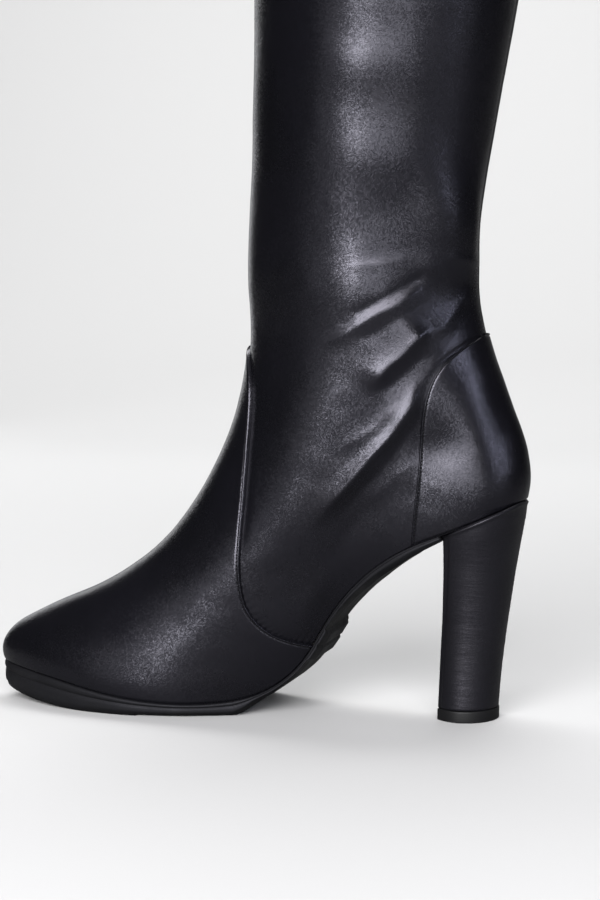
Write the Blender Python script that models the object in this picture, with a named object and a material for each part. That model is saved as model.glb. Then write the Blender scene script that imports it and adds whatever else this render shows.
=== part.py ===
"""Over-the-knee boot for the right foot, in smooth leather on a high wrapped heel.

Sizes are in millimetres until a mesh is made, and the boot stands on z = 0.
+X points to the toe, +Y to the inner (medial) side of the foot, +Z up.
The origin is on the bottom face of the top lift.
"""
import math

import bmesh
import bpy
import numpy as np

# Driving sizes
MM = 0.001
LEATHER_WALL = 2.0
OVERLAY_WALL = 1.4
GAP = 0.3
OVERLAY_GAP = 0.55
INSOLE_THICKNESS = 2.5
TOP_LIFT_HEIGHT = 5.0
SOLE_EDGE_PROUD = 1.0
COUNTER_START_LEVEL = 0.20
VAMP_START_LEVEL = 0.27
STANCE_START_X = 97.0
STANCE_END_X = 160.0
ARCH_BLEND_X = 86.0
TREAD_EDGE_X = 137.0
TREAD_STEP_LENGTH = 0.6
LIFT_PROUD = 0.5
BREAST_TOP_X = 4.4

# Mesh density
POINTS_AROUND = 44
POINTS_ACROSS = 5
STEPS_PER_FOOT_ROW = 2
STEPS_PER_SHAFT_ROW = 1

# Feather line: where the upper meets the sole, seen from the side
FEATHER_X = (-27.0, -12.0, 4.0, 20.0, 34.0, 46.0, 56.0, 65.0, 75.0, 87.0, 102.0, 125.0, 150.0, 181.0, 210.5)
FEATHER_Z = (95.0, 88.2, 81.6, 75.0, 66.2, 55.1, 41.6, 26.6, 15.9, 9.2, 6.2, 6.1, 8.7, 13.6, 17.2)

# A ring of the upper runs from its back point to its front point and round again.
# seat to tip give its fullness along the foot: the half width of an ellipse through that place.
FULLNESS_PLACES = (0.0, 0.18, 0.38, 0.62, 0.82, 1.0)
# Columns: back_x, back_z, front_x, front_z, follow, then seat, heel, waist, ball, toe, tip,
# and at the end swing and toe_in
FOOT_ROWS = (
    (-27.0, 95.0, 210.5, 17.2, 1.00, 46.0, 34.0, 21.6, 38.6, 41.8, 35.0, -2.4, 3.0),
    (-28.1, 100.6, 211.5, 23.6, 0.95, 47.0, 35.6, 25.0, 40.0, 42.6, 35.5, -2.8, 3.0),
    (-28.4, 106.0, 206.2, 31.7, 0.80, 47.0, 36.6, 28.2, 39.8, 40.5, 35.5, -3.0, 2.8),
    (-28.0, 111.4, 195.0, 38.4, 0.60, 45.8, 36.8, 30.2, 38.6, 37.2, 35.8, -3.0, 2.4),
    (-26.9, 117.3, 180.0, 45.5, 0.41, 44.0, 36.4, 31.4, 37.4, 35.2, 36.0, -2.6, 1.9),
    (-25.0, 123.7, 160.0, 54.5, 0.26, 41.8, 35.8, 32.5, 36.7, 34.4, 36.0, -2.1, 1.4),
    (-22.4, 130.6, 141.0, 67.0, 0.15, 39.4, 35.2, 33.5, 36.3, 34.2, 35.8, -1.6, 1.0),
    (-19.4, 138.5, 124.2, 84.5, 0.07, 36.6, 34.6, 34.3, 36.2, 34.3, 35.5, -1.1, 0.6),
    (-16.2, 147.3, 110.5, 106.5, 0.02, 33.8, 34.2, 35.0, 36.3, 34.6, 35.2, -0.7, 0.3),
    (-13.0, 156.0, 100.5, 129.5, 0.0, 31.5, 34.0, 35.6, 36.5, 34.9, 34.8, -0.4, 0.1),
    (-10.4, 164.6, 95.5, 150.5, 0.0, 30.0, 34.1, 36.2, 36.7, 35.2, 34.4, -0.2, 0.0),
    (-8.3, 173.4, 94.0, 168.0, 0.0, 29.4, 34.4, 36.8, 37.0, 35.4, 34.2, 0.0, 0.0),
)

# Rings of the shaft lie level. back and front say how full each end is beside the middle.
# Columns: z, back_x, front_x, half_width, back, front
SHAFT_ROWS = (
    (185.0, -6.7, 95.1, 37.6, 0.79, 0.93),
    (200.0, -6.7, 95.3, 38.4, 0.82, 0.93),
    (218.0, -7.4, 94.4, 39.8, 0.86, 0.93),
    (240.0, -10.8, 93.3, 42.0, 0.91, 0.92),
    (265.0, -15.0, 92.7, 44.8, 0.95, 0.92),
    (292.0, -19.7, 92.0, 47.6, 0.98, 0.92),
    (320.0, -24.4, 91.7, 50.4, 1.00, 0.92),
    (350.0, -28.0, 92.6, 52.8, 1.02, 0.92),
    (380.0, -29.7, 94.2, 54.2, 1.02, 0.93),
    (410.0, -28.5, 95.9, 54.6, 1.01, 0.94),
    (440.0, -24.9, 97.6, 55.0, 0.99, 0.95),
    (470.0, -22.5, 99.5, 56.8, 0.98, 0.96),
    (500.0, -24.2, 101.7, 60.2, 0.98, 0.97),
    (535.0, -30.0, 104.3, 64.8, 0.99, 0.98),
    (570.0, -36.0, 106.7, 68.8, 1.00, 0.99),
    (600.0, -40.0, 108.4, 71.4, 1.00, 1.00),
)

# Front edge of the heel counter and rear edge of the vamp, from the side
COUNTER_EDGE_Z = (78.0, 92.0, 106.0, 120.0, 132.2, 142.2, 150.2, 157.2, 162.2, 166.2)
COUNTER_EDGE_X = (17.2, 15.7, 14.2, 12.8, 11.0, 7.8, 3.6, -1.6, -5.9, -9.2)
COUNTER_TOP_Z = 166.7
VAMP_EDGE_Z = (31.5, 34.0, 36.5, 40.5, 47.0, 56.0, 70.0, 100.0, 130.0, 145.0, 153.0)
VAMP_EDGE_X = (61.0, 70.0, 76.0, 81.5, 86.5, 89.2, 90.0, 89.0, 88.7, 89.6, 91.6)
VAMP_PEAK_Z = 161.0

# Outsole: thickness below the feather line, square to it, with the two tread bars under the waist
SOLE_X = (5.5, 14.0, 26.0, 40.0, 50.0, 57.4, 57.9, 60.9, 61.4, 61.9, 65.1, 65.6, 74.0, 84.0, 97.0)
SOLE_THICKNESS = (2.4, 3.4, 4.6, 4.4, 3.2, 1.8, 3.9, 3.7, 2.6, 3.9, 3.6, 2.0, 2.2, 2.8, 5.7)
TOE_SPRING = 6.0
EDGE_X = (5.5, 30.0, 44.0, 75.0, 97.0, 136.7, 137.3)
EDGE_INSET = (0.5, 1.5, 5.5, 5.5, 3.5, 3.5, 1.2)
EDGE_HEIGHT_LIMIT = 1.6

# Heel block: rows from the seat down to the top lift
# Columns: drop (share of the heel's height), back_x, breast_x, breast_half, side_half
HEEL_ROWS = (
    (0.00, -28.3, 4.4, 20.5, 25.2),
    (0.06, -27.8, 4.5, 19.4, 24.4),
    (0.16, -26.2, 4.7, 17.6, 22.4),
    (0.30, -23.9, 5.2, 15.4, 20.2),
    (0.48, -21.4, 5.9, 13.0, 18.2),
    (0.68, -19.0, 6.9, 11.4, 16.9),
    (0.86, -17.3, 7.6, 10.8, 16.5),
    (1.00, -16.4, 8.1, 10.6, 16.5),
)
HEEL_POINTS_AROUND = 28
HEEL_MIDDLE_SHARE = 0.42
HEEL_CORNER_SHARE = 0.6

# Colours and sheen of the plain materials
BLACK_LEATHER = (0.012, 0.012, 0.015)
LINING_LEATHER = (0.05, 0.045, 0.045)
BLACK_RUBBER = (0.02, 0.02, 0.022)
LEATHER_ROUGHNESS = 0.35
LINING_ROUGHNESS = 0.7
RUBBER_ROUGHNESS = 0.55


def natural_spline(knots, values):
    """A smooth curve through the values, which may have several columns."""
    knots = np.asarray(knots, float)
    values = np.asarray(values, float)
    count = len(knots)
    step = np.diff(knots)
    slope = np.diff(values, axis=0) / (step if values.ndim == 1 else step[:, None])
    system = np.eye(count)
    right = np.zeros_like(values)
    for i in range(1, count - 1):
        system[i, i - 1:i + 2] = (step[i - 1], 2.0 * (step[i - 1] + step[i]), step[i])
        right[i] = 6.0 * (slope[i] - slope[i - 1])
    bend = np.linalg.solve(system, right)

    def at(place):
        place = np.asarray(place, float)
        i = np.clip(np.searchsorted(knots, place, side="right") - 1, 0, count - 2)
        width = step[i]
        left = place - knots[i]
        rest = knots[i + 1] - place
        if values.ndim > 1:
            width, left, rest = width[..., None], left[..., None], rest[..., None]
        ends = (bend[i] * rest ** 3 + bend[i + 1] * left ** 3) / (6.0 * width)
        start = (values[i] / width - bend[i] * width / 6.0) * rest
        finish = (values[i + 1] / width - bend[i + 1] * width / 6.0) * left
        return ends + start + finish

    return at


feather_z = natural_spline(FEATHER_X, FEATHER_Z)


def shaft_as_foot_row(row):
    """A level ring of the shaft, written in the columns of the foot."""
    z, back_x, front_x, half, back, front = row
    return (back_x, z, front_x, z, 0.0,
            half * back, half * (1.0 + back) / 2.0, half, half, half * (1.0 + front) / 2.0, half * front,
            0.0, 0.0)


RING_ROWS = FOOT_ROWS + tuple(shaft_as_foot_row(row) for row in SHAFT_ROWS)
LAST_ROW = len(RING_ROWS) - 1
ring_sizes = natural_spline(range(len(RING_ROWS)), RING_ROWS)


def fullness_weights():
    """Each column's share of the fullness along a ring, as one smooth curve per column."""
    return natural_spline(FULLNESS_PLACES, np.eye(len(FULLNESS_PLACES)))


fullness_share = fullness_weights()


def last_point(level, angle):
    """A point of the upper's outside. Angle 0 is the back, a quarter turn the inner side."""
    level, angle = np.broadcast_arrays(np.asarray(level, float), np.asarray(angle, float))
    size = ring_sizes(level)
    back_x, back_z, front_x, front_z, follow = (size[..., k] for k in range(5))
    swing, toe_in = size[..., 11], size[..., 12]
    along = (1.0 - np.cos(angle)) / 2.0
    side = np.sin(angle)
    fullness = np.sum(fullness_share(along) * size[..., 5:11], axis=-1)
    first = FEATHER_X[0] + (FEATHER_X[-1] - FEATHER_X[0]) * along
    chord = FEATHER_Z[0] + (FEATHER_Z[-1] - FEATHER_Z[0]) * along
    x = back_x + (front_x - back_x) * along
    y = side * fullness + np.abs(side) ** 3 * swing + toe_in * along ** 3
    z = back_z + (front_z - back_z) * along + follow * (feather_z(first) - chord)
    return np.stack((x, y, z), axis=-1)


RING_ANGLES = np.linspace(0.0, 2.0 * math.pi, POINTS_AROUND, endpoint=False)
STATION_ANGLES = RING_ANGLES[:POINTS_AROUND // 2 + 1]
STATIONS = last_point(0.0, STATION_ANGLES)[:, 0]


def seat_z(x):
    """The height of the feather line at x, straight between the upper's own stations."""
    return float(np.interp(x, STATIONS, feather_z(STATIONS)))


def upper_point(level, angle, outward=0.0):
    """A point at a distance outside (or inside, if negative) the upper's outer face."""
    small = 1e-3
    point = last_point(level, angle)
    round_way = last_point(level, np.asarray(angle) + small) - last_point(level, np.asarray(angle) - small)
    up_way = last_point(np.asarray(level) + small, angle) - last_point(np.asarray(level) - small, angle)
    normal = np.cross(up_way, round_way)
    normal /= np.linalg.norm(normal, axis=-1, keepdims=True)
    return point + outward * normal


def make_object(name, points, faces, color, roughness):
    """One closed piece with its own material. Points come in millimetres."""
    mesh = bpy.data.meshes.new(name)
    mesh.from_pydata([tuple(p * MM for p in point) for point in points], [], faces)
    work = bmesh.new()
    work.from_mesh(mesh)
    bmesh.ops.triangulate(work, faces=work.faces[:])
    bmesh.ops.recalc_face_normals(work, faces=work.faces[:])
    work.to_mesh(mesh)
    work.free()
    mesh.shade_smooth()
    mesh.set_sharp_from_angle(angle=math.radians(40.0))
    material = bpy.data.materials.new(name)
    material.use_nodes = True
    shader = material.node_tree.nodes["Principled BSDF"]
    shader.inputs["Base Color"].default_value = (*color, 1.0)
    shader.inputs["Roughness"].default_value = roughness
    shader.inputs["Metallic"].default_value = 0.0
    mesh.materials.append(material)
    piece = bpy.data.objects.new(name, mesh)
    bpy.context.collection.objects.link(piece)
    return piece


def band_faces(first, second, closed=True):
    """Quads between two rows of point numbers."""
    count = len(first)
    last = count if closed else count - 1
    return [(first[i], first[(i + 1) % count], second[(i + 1) % count], second[i]) for i in range(last)]


def shell(name, outer, inner, closed, color, roughness):
    """A wall between two grids of points, sealed along its edges."""
    rows, count = outer.shape[:2]
    points = np.concatenate((outer.reshape(-1, 3), inner.reshape(-1, 3)))
    number = np.arange(rows * count).reshape(rows, count)
    far = number + rows * count
    faces = []
    for row in range(rows - 1):
        faces += band_faces(number[row], number[row + 1], closed)
        faces += band_faces(far[row + 1], far[row], closed)
    faces += band_faces(far[0], number[0], closed)
    faces += band_faces(number[-1], far[-1], closed)
    if not closed:
        faces += band_faces(number[:, 0], far[:, 0], False)
        faces += band_faces(far[:, -1], number[:, -1], False)
    return make_object(name, points.tolist(), [tuple(int(i) for i in face) for face in faces], color, roughness)


def upper_levels():
    """The levels that the upper is cut into, finer round the foot than up the shaft."""
    foot_end = len(FOOT_ROWS) - 1
    foot = np.linspace(0, foot_end, foot_end * STEPS_PER_FOOT_ROW + 1)
    shaft = np.linspace(foot_end, LAST_ROW, (LAST_ROW - foot_end) * STEPS_PER_SHAFT_ROW + 1)
    return np.concatenate((foot, shaft[1:]))


def make_upper():
    """The hollow leather upper, open at the collar and along the feather line."""
    levels = upper_levels()[:, None]
    outer = upper_point(levels, RING_ANGLES[None, :])
    inner = upper_point(levels, RING_ANGLES[None, :], -LEATHER_WALL)
    return shell("upper", outer, inner, True, BLACK_LEATHER, LEATHER_ROUGHNESS)


def angle_at_edge(level, edge_x, from_back, side):
    """The angle at which a ring crosses a seam, given as x for a height, on one side of the foot."""
    low, high = 0.0, math.pi
    for _ in range(40):
        middle = (low + high) / 2.0
        x, _y, z = last_point(level, side * middle)
        if x < edge_x(z):
            low = middle
        else:
            high = middle
    return side * low if from_back else side * high


def overlay(name, start, top, edge_x, from_back, count):
    """A leather overlay on the upper, behind or in front of a seam, cut at the upper's own levels."""
    shared = [level for level in upper_levels() if start < level < top - 0.1]
    levels = np.array([start, *shared, top])
    grid_levels = np.repeat(levels[:, None], count, axis=1)
    grid_angles = np.zeros_like(grid_levels)
    for row, level in enumerate(levels):
        inner_side = angle_at_edge(level, edge_x, from_back, 1.0)
        outer_side = angle_at_edge(level, edge_x, from_back, -1.0)
        if not from_back:
            outer_side += 2.0 * math.pi
        grid_angles[row] = np.linspace(outer_side, inner_side, count)
    outer = upper_point(grid_levels, grid_angles, OVERLAY_GAP + OVERLAY_WALL)
    inner = upper_point(grid_levels, grid_angles, OVERLAY_GAP)
    return shell(name, outer, inner, False, BLACK_LEATHER, LEATHER_ROUGHNESS)


def level_at_back(z):
    """The level whose back point is at this height."""
    levels = np.linspace(0.0, LAST_ROW, 2000)
    return float(np.interp(z, last_point(levels, 0.0)[:, 2], levels))


def level_at_front(z):
    """The level whose front point is at this height."""
    levels = np.linspace(0.0, LAST_ROW, 2000)
    return float(np.interp(z, last_point(levels, math.pi)[:, 2], levels))


def make_heel_counter():
    """The overlay round the back of the heel."""
    def edge_x(z):
        return np.interp(z, COUNTER_EDGE_Z, COUNTER_EDGE_X)

    return overlay("heel_counter", COUNTER_START_LEVEL, level_at_back(COUNTER_TOP_Z), edge_x, True, 19)


def make_vamp():
    """The overlay on the toe and the instep, with its peak on the front of the ankle."""
    def edge_x(z):
        return np.interp(z, VAMP_EDGE_Z, VAMP_EDGE_X)

    return overlay("vamp", VAMP_START_LEVEL, level_at_front(VAMP_PEAK_Z), edge_x, False, 29)


def plan_width(x, side, outward):
    """How far the feather line stands out from the middle at x, moved outward by an amount."""
    angles = np.linspace(0.0, math.pi, 400)
    line = upper_point(0.0, side * angles, outward)
    return np.interp(x, line[:, 0], line[:, 1])


def slab(name, rows, color, roughness):
    """A closed block through loops of points. Each end is capped by joining opposite points."""
    count = len(rows[0])
    points = [point for row in rows for point in row]
    loops = [list(range(row * count, (row + 1) * count)) for row in range(len(rows))]
    faces = []
    for first, second in zip(loops[:-1], loops[1:]):
        faces += band_faces(first, second)
    half = count // 2
    for loop in (loops[0], loops[-1][::-1]):
        faces += band_faces(loop[:half], loop[:half - 1:-1], False)
    return make_object(name, points, faces, color, roughness)


def make_insole():
    """The board and sock inside the upper, resting over outsole and heel."""
    inset = -(LEATHER_WALL + GAP)
    rows = []
    for angle in STATION_ANGLES[1:-1]:
        inner_side = upper_point(0.0, angle, inset)
        x = float(inner_side[0])
        outer_side = plan_width(x, -1.0, inset)
        low = seat_z(x)
        across = np.linspace(outer_side, inner_side[1], POINTS_ACROSS)
        bottom = [(x, float(y), low) for y in across]
        top = [(x, float(y), low + INSOLE_THICKNESS) for y in across[::-1]]
        rows.append(bottom + top)
    return slab("insole", rows, LINING_LEATHER, LINING_ROUGHNESS)


def sole_underside(x):
    """The point of the outsole's underside, in the x-z plane, below a point of its top."""
    top_z = seat_z(x) - GAP
    if x >= STANCE_START_X:
        rise = max(0.0, (x - STANCE_END_X) / (FEATHER_X[-1] - STANCE_END_X))
        return x, TOE_SPRING * rise ** 2
    slope = float(feather_z(x + 0.5) - feather_z(x - 0.5))
    length = math.hypot(1.0, slope)
    thickness = float(np.interp(x, SOLE_X, SOLE_THICKNESS))
    blend = max(0.0, (x - ARCH_BLEND_X) / (STANCE_START_X - ARCH_BLEND_X))
    under_x = x + thickness * slope / length
    under_z = top_z - thickness / length
    return under_x, max(0.0, under_z * (1.0 - blend ** 2))


def sole_stations():
    """Where the outsole is cut across: the upper's stations and the ends of each step in the tread."""
    half_step = TREAD_STEP_LENGTH / 2.0
    ends = (SOLE_X[0], *SOLE_X[3:10], STANCE_START_X,
            TREAD_EDGE_X - half_step, TREAD_EDGE_X + half_step, STANCE_END_X)
    shared = [x for x in STATIONS[:-1] if x > SOLE_X[0] and min(abs(x - end) for end in ends) > 1.0]
    tip = STATIONS[-2] + (STATIONS[-1] - STATIONS[-2]) * 0.6
    return sorted((*shared, *ends, tip))


def make_outsole():
    """The outsole under waist and forefoot, with its arch, toe spring and stepped tread."""
    rows = []
    for x in sole_stations():
        proud = SOLE_EDGE_PROUD * min(1.0, max(0.0, (x - 30.0) / 40.0))
        top_z = seat_z(x) - GAP
        under_x, under_z = sole_underside(x)
        inner_side = float(plan_width(x, 1.0, proud))
        outer_side = float(plan_width(x, -1.0, proud))
        width = inner_side - outer_side
        inset = min(float(np.interp(x, EDGE_X, EDGE_INSET)), width / 4.0)
        share = min(0.45, EDGE_HEIGHT_LIMIT / (top_z - under_z))
        edge_x = under_x + (x - under_x) * share
        edge_z = under_z + (top_z - under_z) * share
        top = [(x, float(y), top_z) for y in np.linspace(outer_side, inner_side, POINTS_ACROSS)]
        bottom_y = np.linspace(inner_side - inset, outer_side + inset, POINTS_ACROSS)
        bottom = [(under_x, float(y), under_z) for y in bottom_y]
        rows.append(top + [(edge_x, inner_side, edge_z)] + bottom + [(edge_x, outer_side, edge_z)])
    return slab("outsole", rows, BLACK_RUBBER, RUBBER_ROUGHNESS)


def heel_ring(back_x, breast_x, breast_half, side_half):
    """A D-shaped section of the heel: a flat breast and a rounded back, as x and y."""
    corner = math.acos(min(1.0, breast_half / side_half)) * HEEL_CORNER_SHARE
    angles = np.linspace(-corner, math.pi + corner, HEEL_POINTS_AROUND)
    middle_x = breast_x - (breast_x - back_x) * HEEL_MIDDLE_SHARE
    ring = []
    for angle in angles:
        across = math.cos(angle)
        backward = math.sin(angle)
        if backward >= 0.0:
            x = middle_x - (middle_x - back_x) * backward
            y = side_half * across
        else:
            share = backward / math.sin(-corner)
            x = middle_x + (breast_x - middle_x) * share
            y = math.copysign(side_half + (breast_half - side_half) * share ** 2, across)
        ring.append((x, y))
    return ring


def make_heel_block():
    """The tall heel, from the sloping seat under the counter down to the top lift."""
    lift_top = TOP_LIFT_HEIGHT + GAP
    rows = []
    for drop, back_x, breast_x, breast_half, side_half in HEEL_ROWS:
        row = []
        for x, y in heel_ring(back_x, breast_x, breast_half, side_half):
            seat = seat_z(min(x, BREAST_TOP_X)) - GAP
            row.append((x, y, seat + (lift_top - seat) * drop))
        rows.append(row)
    return slab("heel_block", rows, BLACK_LEATHER, LEATHER_ROUGHNESS)


def make_top_lift():
    """The hard rubber walking piece, a little proud of the heel above it."""
    _drop, back_x, breast_x, breast_half, side_half = HEEL_ROWS[-1]
    outline = heel_ring(back_x - LIFT_PROUD, breast_x + LIFT_PROUD / 2.0,
                        breast_half + LIFT_PROUD / 2.0, side_half + LIFT_PROUD)
    rows = [[(x, y, z) for x, y in outline] for z in (TOP_LIFT_HEIGHT, 0.0)]
    return slab("top_lift", rows, BLACK_RUBBER, RUBBER_ROUGHNESS)


def clear_scene():
    """Start from an empty scene."""
    for old in list(bpy.data.objects):
        bpy.data.objects.remove(old, do_unlink=True)


clear_scene()
make_upper()
make_vamp()
make_heel_counter()
make_insole()
make_outsole()
make_heel_block()
make_top_lift()
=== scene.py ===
import math

import bpy
import numpy as np
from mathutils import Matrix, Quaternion, Vector, noise


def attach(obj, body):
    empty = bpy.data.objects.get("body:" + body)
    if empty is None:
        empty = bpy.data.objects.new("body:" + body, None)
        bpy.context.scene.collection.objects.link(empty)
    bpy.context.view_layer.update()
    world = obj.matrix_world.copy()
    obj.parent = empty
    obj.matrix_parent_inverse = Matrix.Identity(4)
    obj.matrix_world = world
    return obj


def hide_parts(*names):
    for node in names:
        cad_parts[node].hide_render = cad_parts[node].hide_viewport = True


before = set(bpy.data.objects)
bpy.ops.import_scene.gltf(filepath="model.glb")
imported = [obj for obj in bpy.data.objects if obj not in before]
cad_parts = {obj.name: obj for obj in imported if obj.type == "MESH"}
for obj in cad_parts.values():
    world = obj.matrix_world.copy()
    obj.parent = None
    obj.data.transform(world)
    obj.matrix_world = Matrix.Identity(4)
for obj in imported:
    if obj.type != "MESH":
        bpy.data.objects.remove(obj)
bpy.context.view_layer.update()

# Upper. One soft black calf skin for leg, foot and shaft, lined, 2 mm thick with its lining. It
# is drawn over the last, turned under at the feather line and closed down the back.
# Sizes are the boot's own, in millimetres: +X toe, +Y inner side, +Z up, floor at z = 0.
MM = 0.001
FEATHER_X = (-27, -12, 4, 20, 34, 46, 56, 65, 75, 87, 102, 125, 150, 181, 210.5)
FEATHER_Z = (95, 88.2, 81.6, 75, 66.2, 55.1, 41.6, 26.6, 15.9, 9.2, 6.2, 6.1, 8.7, 13.6, 17.2)
FULLNESS_PLACES = (0.0, 0.18, 0.38, 0.62, 0.82, 1.0)
# Rings of the foot: back_x, back_z, front_x, front_z, follow, then the fullness at seat, heel,
# waist, ball, toe and tip, then swing and toe_in
FOOT_RINGS = (
    (-27, 95, 210.5, 17.2, 1.00, 46, 34, 21.6, 38.6, 41.8, 35, -2.4, 3),
    (-28.1, 100.6, 211.5, 23.6, 0.95, 47, 35.6, 25, 40, 42.6, 35.5, -2.8, 3),
    (-28.4, 106, 206.2, 31.7, 0.80, 47, 36.6, 28.2, 39.8, 40.5, 35.5, -3, 2.8),
    (-28, 111.4, 195, 38.4, 0.60, 45.8, 36.8, 30.2, 38.6, 37.2, 35.8, -3, 2.4),
    (-26.9, 117.3, 180, 45.5, 0.41, 44, 36.4, 31.4, 37.4, 35.2, 36, -2.6, 1.9),
    (-25, 123.7, 160, 54.5, 0.26, 41.8, 35.8, 32.5, 36.7, 34.4, 36, -2.1, 1.4),
    (-22.4, 130.6, 141, 67, 0.15, 39.4, 35.2, 33.5, 36.3, 34.2, 35.8, -1.6, 1),
    (-19.4, 138.5, 124.2, 84.5, 0.07, 36.6, 34.6, 34.3, 36.2, 34.3, 35.5, -1.1, 0.6),
    (-16.2, 147.3, 110.5, 106.5, 0.02, 33.8, 34.2, 35, 36.3, 34.6, 35.2, -0.7, 0.3),
    (-13, 156, 100.5, 129.5, 0, 31.5, 34, 35.6, 36.5, 34.9, 34.8, -0.4, 0.1),
    (-10.4, 164.6, 95.5, 150.5, 0, 30, 34.1, 36.2, 36.7, 35.2, 34.4, -0.2, 0),
    (-8.3, 173.4, 94, 168, 0, 29.4, 34.4, 36.8, 37, 35.4, 34.2, 0, 0),
)
# Level rings of the shaft: z, back_x, front_x, half_width, and how full the back and front are
SHAFT_RINGS = (
    (185, -6.7, 95.1, 37.6, 0.79, 0.93),
    (200, -6.7, 95.3, 38.4, 0.82, 0.93),
    (218, -7.4, 94.4, 39.8, 0.86, 0.93),
    (240, -10.8, 93.3, 42, 0.91, 0.92),
    (265, -15, 92.7, 44.8, 0.95, 0.92),
    (292, -19.7, 92, 47.6, 0.98, 0.92),
    (320, -24.4, 91.7, 50.4, 1.00, 0.92),
    (350, -28, 92.6, 52.8, 1.02, 0.92),
    (380, -29.7, 94.2, 54.2, 1.02, 0.93),
    (410, -28.5, 95.9, 54.6, 1.01, 0.94),
    (440, -24.9, 97.6, 55, 0.99, 0.95),
    (470, -22.5, 99.5, 56.8, 0.98, 0.96),
    (500, -24.2, 101.7, 60.2, 0.98, 0.97),
    (535, -30, 104.3, 64.8, 0.99, 0.98),
    (570, -36, 106.7, 68.8, 1.00, 0.99),
    (600, -40, 108.4, 71.4, 1.00, 1.00),
)


def natural_spline(knots, values):
    """A smooth curve through the values, which may have several columns."""
    knots = np.asarray(knots, float)
    values = np.asarray(values, float)
    count = len(knots)
    step = np.diff(knots)
    slope = np.diff(values, axis=0) / (step if values.ndim == 1 else step[:, None])
    system = np.eye(count)
    right = np.zeros_like(values)
    for i in range(1, count - 1):
        system[i, i - 1:i + 2] = (step[i - 1], 2.0 * (step[i - 1] + step[i]), step[i])
        right[i] = 6.0 * (slope[i] - slope[i - 1])
    bend = np.linalg.solve(system, right)

    def at(place):
        place = np.asarray(place, float)
        i = np.clip(np.searchsorted(knots, place, side="right") - 1, 0, count - 2)
        width, left, rest = step[i], place - knots[i], knots[i + 1] - place
        if values.ndim > 1:
            width, left, rest = width[..., None], left[..., None], rest[..., None]
        ends = (bend[i] * rest ** 3 + bend[i + 1] * left ** 3) / (6.0 * width)
        start = (values[i] / width - bend[i] * width / 6.0) * rest
        finish = (values[i + 1] / width - bend[i + 1] * width / 6.0) * left
        return ends + start + finish

    return at


def shaft_as_foot_ring(row):
    """A level ring of the shaft, written in the columns of the foot."""
    z, back_x, front_x, half, back, front = row
    return (back_x, z, front_x, z, 0.0, half * back, half * (1.0 + back) / 2.0, half, half,
            half * (1.0 + front) / 2.0, half * front, 0.0, 0.0)


feather_z = natural_spline(FEATHER_X, FEATHER_Z)
RINGS = FOOT_RINGS + tuple(shaft_as_foot_ring(row) for row in SHAFT_RINGS)
LAST_RING = len(RINGS) - 1
ring_sizes = natural_spline(range(len(RINGS)), RINGS)
fullness_share = natural_spline(FULLNESS_PLACES, np.eye(len(FULLNESS_PLACES)))


def last_point(level, angle):
    """A point of the leather's smooth outer shape. Angle 0 is the back, a quarter turn the inner side."""
    level, angle = np.broadcast_arrays(np.asarray(level, float), np.asarray(angle, float))
    size = ring_sizes(level)
    back_x, back_z, front_x, front_z, follow = (size[..., k] for k in range(5))
    along = (1.0 - np.cos(angle)) / 2.0
    side = np.sin(angle)
    fullness = np.sum(fullness_share(along) * size[..., 5:11], axis=-1)
    first = FEATHER_X[0] + (FEATHER_X[-1] - FEATHER_X[0]) * along
    chord = FEATHER_Z[0] + (FEATHER_Z[-1] - FEATHER_Z[0]) * along
    x = back_x + (front_x - back_x) * along
    y = side * fullness + np.abs(side) ** 3 * size[..., 11] + size[..., 12] * along ** 3
    z = back_z + (front_z - back_z) * along + follow * (feather_z(first) - chord)
    return np.stack((x, y, z), axis=-1)


def outward_way(level, angle):
    """The direction straight out of the leather."""
    small = 1e-3
    round_way = last_point(level, np.asarray(angle) + small) - last_point(level, np.asarray(angle) - small)
    up_way = last_point(np.asarray(level) + small, angle) - last_point(np.asarray(level) - small, angle)
    normal = np.cross(up_way, round_way)
    return normal / np.linalg.norm(normal, axis=-1, keepdims=True)


def smooth_step(low, high, value):
    """A soft ramp from 0 at low to 1 at high."""
    share = np.clip((value - low) / (high - low), 0.0, 1.0)
    return share * share * (3.0 - 2.0 * share)


def seam_curve(heights, places):
    """A seam seen from the side: gives x of the cut edge at each height."""
    curve = natural_spline(heights, places)
    return lambda z: curve(np.clip(z, heights[0], heights[-1]))


counter_seam_x = seam_curve(
    (72.0, 92.0, 106.0, 120.0, 132.2, 142.2, 150.2, 157.2, 162.2, 166.2, 172.0),
    (17.8, 15.7, 14.2, 13.1, 12.2, 10.2, 6.8, 1.0, -5.0, -10.2, -17.2))
vamp_seam_x = seam_curve(
    (29.5, 31.5, 34.0, 36.5, 40.5, 47.0, 56.0, 70.0, 100.0, 130.0, 145.0, 153.0, 165.0),
    (54.0, 61.0, 70.0, 76.0, 81.5, 86.5, 89.2, 90.0, 89.0, 88.7, 89.6, 91.6, 96.0))
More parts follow.
